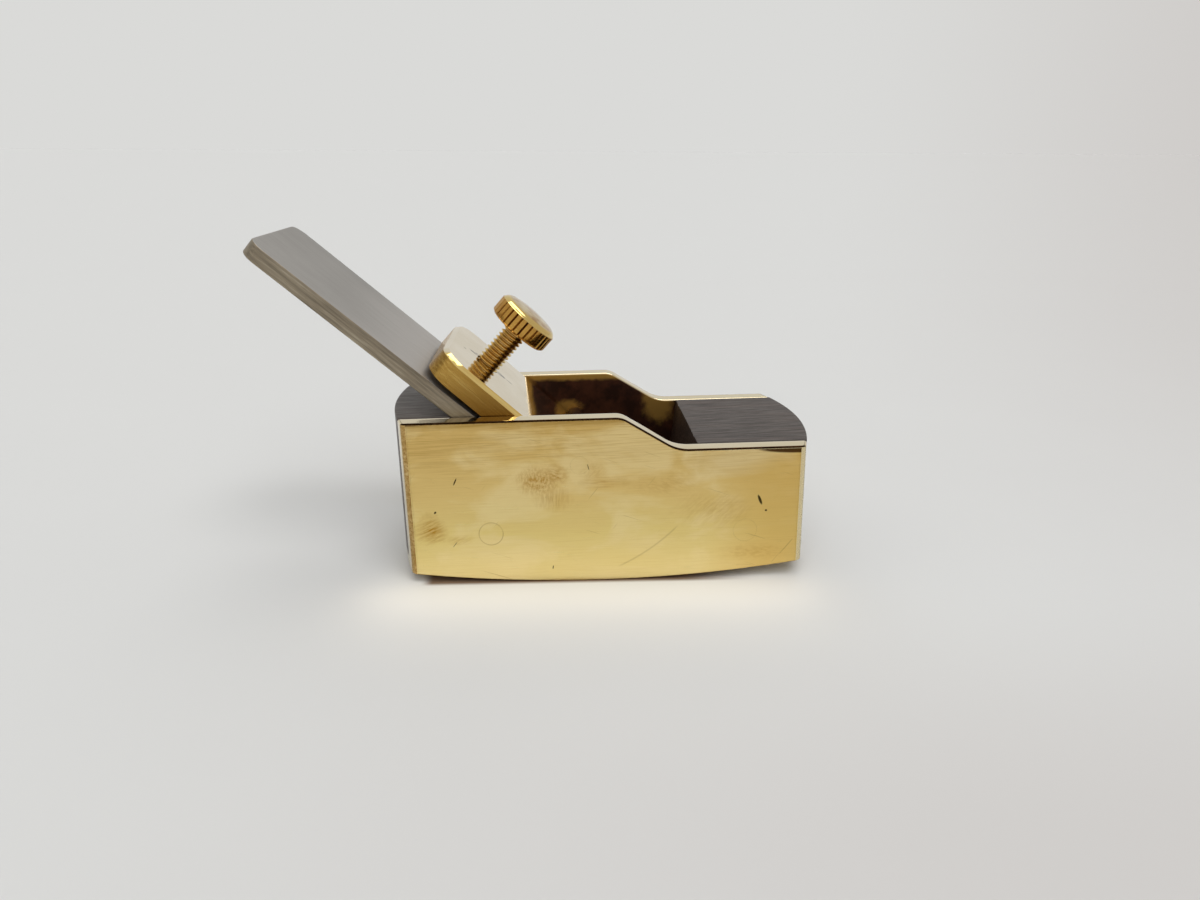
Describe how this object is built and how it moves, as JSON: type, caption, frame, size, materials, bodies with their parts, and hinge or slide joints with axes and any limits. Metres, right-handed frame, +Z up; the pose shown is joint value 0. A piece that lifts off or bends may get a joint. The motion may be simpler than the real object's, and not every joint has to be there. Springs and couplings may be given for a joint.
{
  "type": "finger plane",
  "caption": "Small brass and ebony infill finger plane with a curved sole, a bevel-down blade and a knurled thumbscrew lever cap under a cross pin.",
  "frame": {"origin": "under the middle of the whole object, blade included, at the height of the sole's lowest line", "axes": "+X from heel to toe, +Y to the plane's left side, +Z up, square to the cheeks' top edges"},
  "size_m": [0.0848, 0.032, 0.0534],
  "materials": {
    "brass_plate": "filed and worn satin",
    "brass_polished": "polished",
    "brass_turned": "turned and knurled",
    "ebony": "oiled",
    "blade_steel": "ground"
  },
  "bodies": {
    "body": {"side_plate_left": "brass_plate", "side_plate_right": "brass_plate", "sole_toe": "brass_plate", "sole_heel": "brass_plate", "rear_infill": "ebony", "front_infill": "ebony", "rear_infill_pin": "brass_plate", "front_infill_pin": "brass_plate", "cap_pin": "brass_plate"},
    "lever_cap": {"lever_cap": "brass_polished"},
    "screw_stud": {"thumbscrew_shank": "brass_turned"},
    "screw_knob": {"thumbscrew_knob": "brass_turned"},
    "blade": {"blade": "blade_steel"}
  },
  "joints": [
    {"name": "cap_rock", "type": "hinge", "parent": "body", "child": "lever_cap", "pos_m": [0.0051, 0, 0.01921], "axis": [0, 1, 0], "range_deg": [-1.96, 0]},
    {"name": "screw_travel", "type": "slide", "parent": "lever_cap", "child": "screw_stud", "axis": [0.682, 0, 0.7314], "range_m": [0, 0.00066]},
    {"name": "knob_turn", "type": "hinge", "parent": "screw_stud", "child": "screw_knob", "pos_m": [-0.00872, 0, 0.0321], "axis": [0.682, 0, 0.7314], "range_deg": [0, 330]},
    {"name": "blade_slide", "type": "slide", "parent": "body", "child": "blade", "axis": [-0.7466, 0, 0.6652], "range_m": [-0.0005, 0.04]}
  ],
  "couplings": [
    {"joint": "cap_rock", "follows": "knob_turn", "ratio": -0.0058947},
    {"joint": "screw_travel", "follows": "knob_turn", "m_per_rad": 0.00011141}
  ]
}
